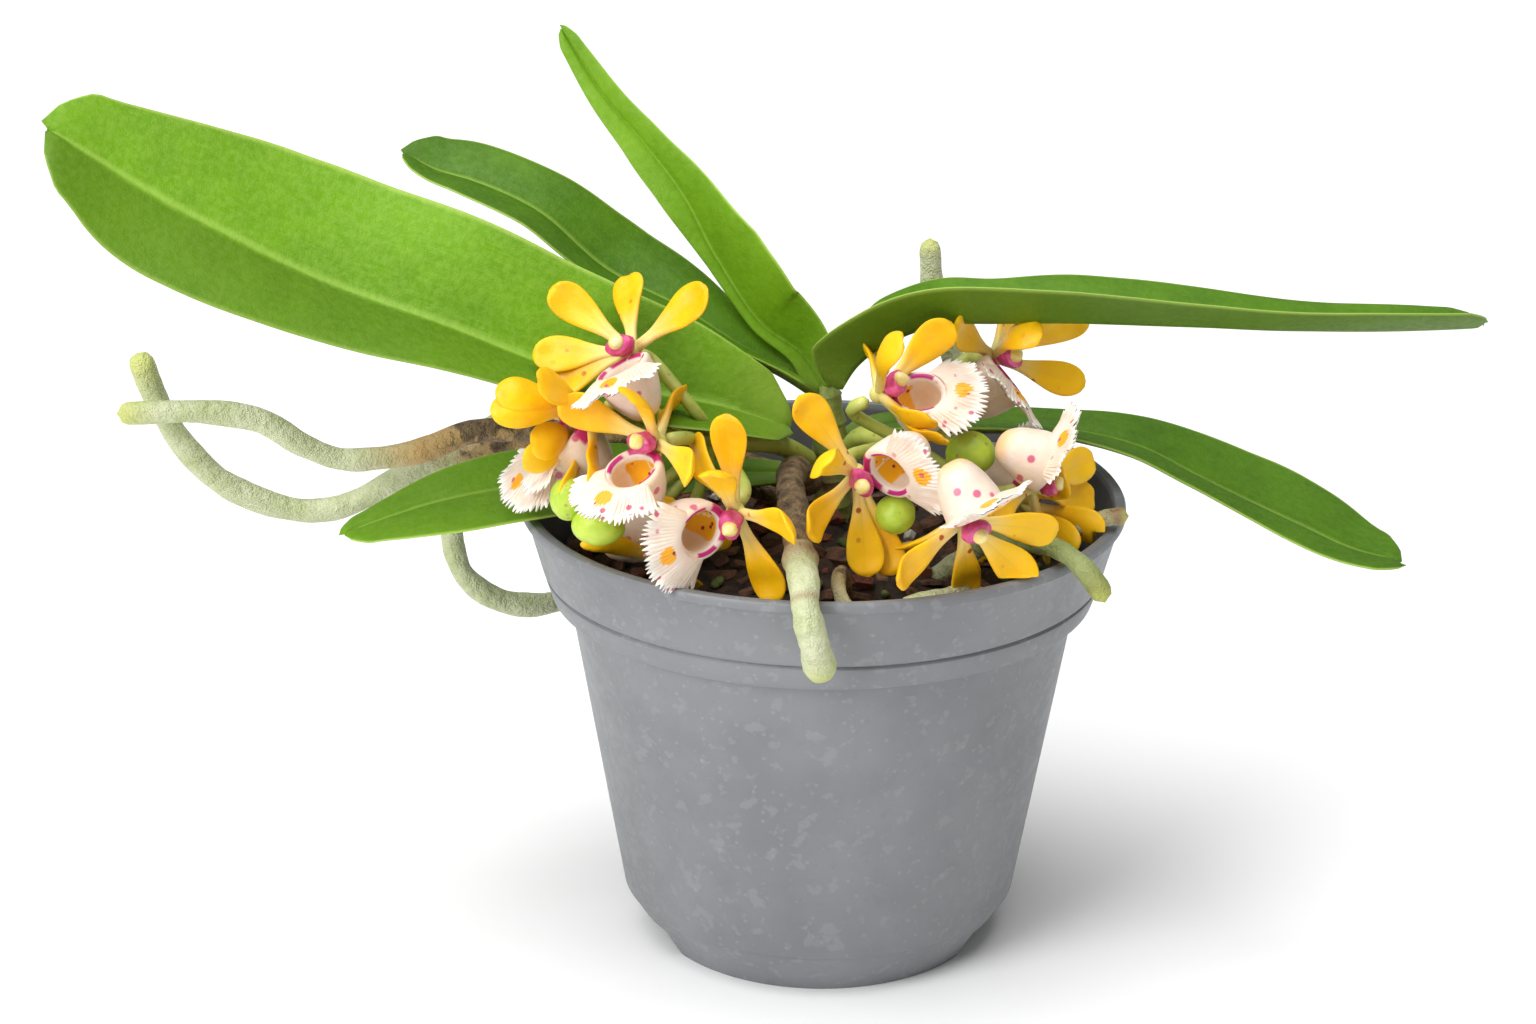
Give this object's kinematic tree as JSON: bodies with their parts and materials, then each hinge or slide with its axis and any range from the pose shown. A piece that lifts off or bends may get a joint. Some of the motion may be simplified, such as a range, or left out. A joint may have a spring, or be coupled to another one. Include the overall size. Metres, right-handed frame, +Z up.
{
  "type": "potted orchid",
  "caption": "Small flowering orchid with long strap leaves, yellow blooms and pale aerial roots, standing in a tapered grey nursery pot of bark mix.",
  "frame": {"origin": "centre of the flat disc in the middle of the pot's underside, at table level", "axes": "+Z up, +X to the right along the longest leaves, -Y towards the side the flowers face"},
  "size_m": [0.1828, 0.0856, 0.1199],
  "materials": {
    "pot": "mid grey, faintly mottled recycled plastic, satin",
    "potting_mix": "dark damp bark chips with a few reddish and pale stones",
    "stem": "green-brown stem, matt",
    "leaf": "fresh yellow-green, leathery, satin",
    "root": "pale grey-green velamen with brown patches, matt",
    "stalk": "yellow-green, satin",
    "tepal": "golden yellow, waxy",
    "lip": "cream white with magenta and orange marks, waxy",
    "column": "magenta pink with a pale yellow cap, waxy"
  },
  "bodies": {
    "root": {"pot": "pot", "plant_stem": "stem", "leaf_long_left": "leaf", "leaf_long_right": "leaf", "leaf_upright": "leaf", "leaf_arched_left": "leaf", "leaf_low_right": "leaf", "leaf_low_left": "leaf", "flower_1_column": "column", "flower_2_column": "column", "flower_3_column": "column", "flower_4_column": "column", "flower_5_column": "column", "flower_6_column": "column", "flower_7_column": "column", "flower_8_column": "column", "flower_9_column": "column", "flower_10_column": "column", "flower_11_column": "column", "flower_12_column": "column", "flower_1_lip": "lip", "flower_2_lip": "lip", "flower_3_lip": "lip", "flower_4_lip": "lip", "flower_5_lip": "lip", "flower_6_lip": "lip", "flower_7_lip": "lip", "flower_8_lip": "lip", "flower_9_lip": "lip", "flower_10_lip": "lip", "flower_11_lip": "lip", "flower_12_lip": "lip", "flower_1_tepals": "tepal", "flower_2_tepals": "tepal", "flower_3_tepals": "tepal", "flower_4_tepals": "tepal", "flower_5_tepals": "tepal", "flower_6_tepals": "tepal", "flower_7_tepals": "tepal", "flower_8_tepals": "tepal", "flower_9_tepals": "tepal", "flower_10_tepals": "tepal", "flower_11_tepals": "tepal", "flower_12_tepals": "tepal", "root_upper_left": "root", "root_lower_left": "root", "root_hanging_left": "root", "root_upright": "root", "root_over_front": "root", "root_over_right": "root", "root_stub_right": "root", "root_dry_front": "root", "root_pale_front": "root", "raceme_left": "stalk", "raceme_right": "stalk", "potting_mix": "potting_mix"}
  },
  "joints": []
}
